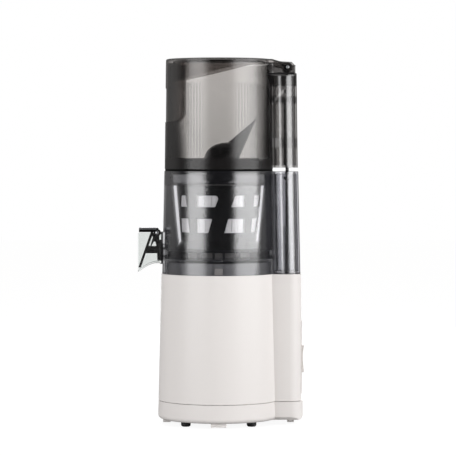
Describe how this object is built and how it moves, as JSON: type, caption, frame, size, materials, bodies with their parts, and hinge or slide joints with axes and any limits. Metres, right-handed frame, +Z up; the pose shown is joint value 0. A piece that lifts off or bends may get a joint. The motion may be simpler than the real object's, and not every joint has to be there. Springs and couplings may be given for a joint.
{
  "type": "cold press juicer",
  "caption": "Upright cold press juicer: motor base with a rear column, smoked juicing chamber with strainers, screw and capped spout, and a smoked hopper with a hinged lid.",
  "frame": {"origin": "centre of the footprint on the table, under the middle of the whole object", "axes": "+Z up; the juice spout faces -Y and the rear column with its switch is at +Y; the pulp outlet faces -X; the screw axis is vertical at y = -2.8 mm"},
  "size_m": [0.1501, 0.2008, 0.441],
  "materials": {
    "white": "satin gloss",
    "white_trim": "satin gloss",
    "rubber": "matte",
    "steel": "brushed",
    "deck_grey": "satin",
    "copper": "bare copper wire",
    "board": "satin",
    "black": "satin gloss",
    "nylon": "satin",
    "smoke": "clear, smoke tinted",
    "clear_smoke": "clear, lightly tinted",
    "cage_grey": "satin"
  },
  "bodies": {
    "base": {"body_shell": "white", "base_cover": "white", "rubber_feet": "rubber", "cover_screws": "steel", "top_deck": "deck_grey", "hub_seal": "rubber", "rear_panel": "white_trim", "cord_gland": "rubber", "motor_stator": "steel", "stator_windings": "copper", "motor_lower_bracket": "steel", "motor_upper_bracket": "steel", "lower_motor_bearing": "steel", "upper_motor_bearing": "steel", "motor_dampers": "rubber", "ring_gear": "steel", "gearbox_cover": "steel", "output_bearing": "steel", "control_board": "board", "interlock_switch": "black"},
    "rotor": {"motor_rotor": "steel", "motor_shaft": "steel", "sun_gear": "steel", "cooling_fan": "black"},
    "output": {"planet_carrier": "steel", "drive_shaft": "steel"},
    "planet_1": {"planet_gear_1": "nylon"},
    "planet_2": {"planet_gear_2": "nylon"},
    "planet_3": {"planet_gear_3": "nylon"},
    "power_switch": {"rocker_switch": "white_trim"},
    "chamber_set": {"chamber": "smoke", "chamber_column": "smoke", "pulp_chute": "smoke", "screw_seal": "rubber", "pulp_packing": "rubber", "outer_strainer": "smoke", "strainer_rim": "smoke", "strainer_stand": "smoke", "inner_strainer": "cage_grey", "strainer_screen": "steel", "juice_spout": "clear_smoke", "spout_pin": "steel"},
    "plunger": {"interlock_plunger": "black"},
    "screw": {"juicing_screw": "black", "cutting_wing": "black"},
    "spout_cap": {"juice_cap": "black", "juice_cap_seal": "rubber", "juice_cap_plate": "steel"},
    "hopper": {"hopper_shell": "smoke", "hopper_column": "smoke", "hopper_liner": "smoke", "hopper_gasket": "rubber", "rod_guide": "black", "hinge_pin": "steel"},
    "rod": {"interlock_rod": "black"},
    "lid_set": {"lid": "smoke"}
  },
  "joints": [
    {"name": "motor_spin", "type": "hinge", "parent": "base", "child": "rotor", "pos_m": [0, -0.0028, 0.06], "axis": [0, 0, 1], "continuous": true},
    {"name": "output_spin", "type": "hinge", "parent": "base", "child": "output", "pos_m": [0, -0.0028, 0.13], "axis": [0, 0, 1], "continuous": true},
    {"name": "planet_spin_1", "type": "hinge", "parent": "output", "child": "planet_1", "pos_m": [0.0225, -0.0028, 0.116], "axis": [0, 0, 1], "continuous": true},
    {"name": "planet_spin_2", "type": "hinge", "parent": "output", "child": "planet_2", "pos_m": [-0.01125, 0.01669, 0.116], "axis": [0, 0, 1], "continuous": true},
    {"name": "planet_spin_3", "type": "hinge", "parent": "output", "child": "planet_3", "pos_m": [-0.01125, -0.02229, 0.116], "axis": [0, 0, 1], "continuous": true},
    {"name": "power_rocker", "type": "hinge", "parent": "base", "child": "power_switch", "pos_m": [0, 0.0917, 0.0787], "axis": [1, 0, 0], "range_deg": [-8, 8]},
    {"name": "chamber_lift", "type": "slide", "parent": "base", "child": "chamber_set", "axis": [0, 0, 1], "range_m": [0, 0.06]},
    {"name": "plunger_slide", "type": "slide", "parent": "chamber_set", "child": "plunger", "axis": [0, 0, 1], "range_m": [0, 0.0024]},
    {"name": "screw_spin", "type": "hinge", "parent": "chamber_set", "child": "screw", "pos_m": [0, -0.0028, 0.25], "axis": [0, 0, 1], "continuous": true},
    {"name": "spout_cap_hinge", "type": "hinge", "parent": "chamber_set", "child": "spout_cap", "pos_m": [0, -0.077, 0.2318], "axis": [-1, 0, 0], "range_deg": [0, 60]},
    {"name": "hopper_lift", "type": "slide", "parent": "chamber_set", "child": "hopper", "axis": [0, 0, 1], "range_m": [0, 0.09]},
    {"name": "lid_hinge", "type": "hinge", "parent": "hopper", "child": "lid_set", "pos_m": [0, 0.0799, 0.4309], "axis": [-1, 0, 0], "range_deg": [0, 100]},
    {"name": "rod_slide", "type": "slide", "parent": "hopper", "child": "rod", "axis": [0, 0, 1], "range_m": [0, 0.0024]}
  ],
  "couplings": [
    {"joint": "output_spin", "follows": "motor_spin", "ratio": 0.2},
    {"joint": "planet_spin_1", "follows": "motor_spin", "ratio": -0.53333},
    {"joint": "planet_spin_2", "follows": "motor_spin", "ratio": -0.53333},
    {"joint": "planet_spin_3", "follows": "motor_spin", "ratio": -0.53333},
    {"joint": "screw_spin", "follows": "motor_spin", "ratio": 0.2},
    {"joint": "plunger_slide", "follows": "lid_hinge", "m_per_rad": 0.001375},
    {"joint": "rod_slide", "follows": "lid_hinge", "m_per_rad": 0.001375}
  ]
}
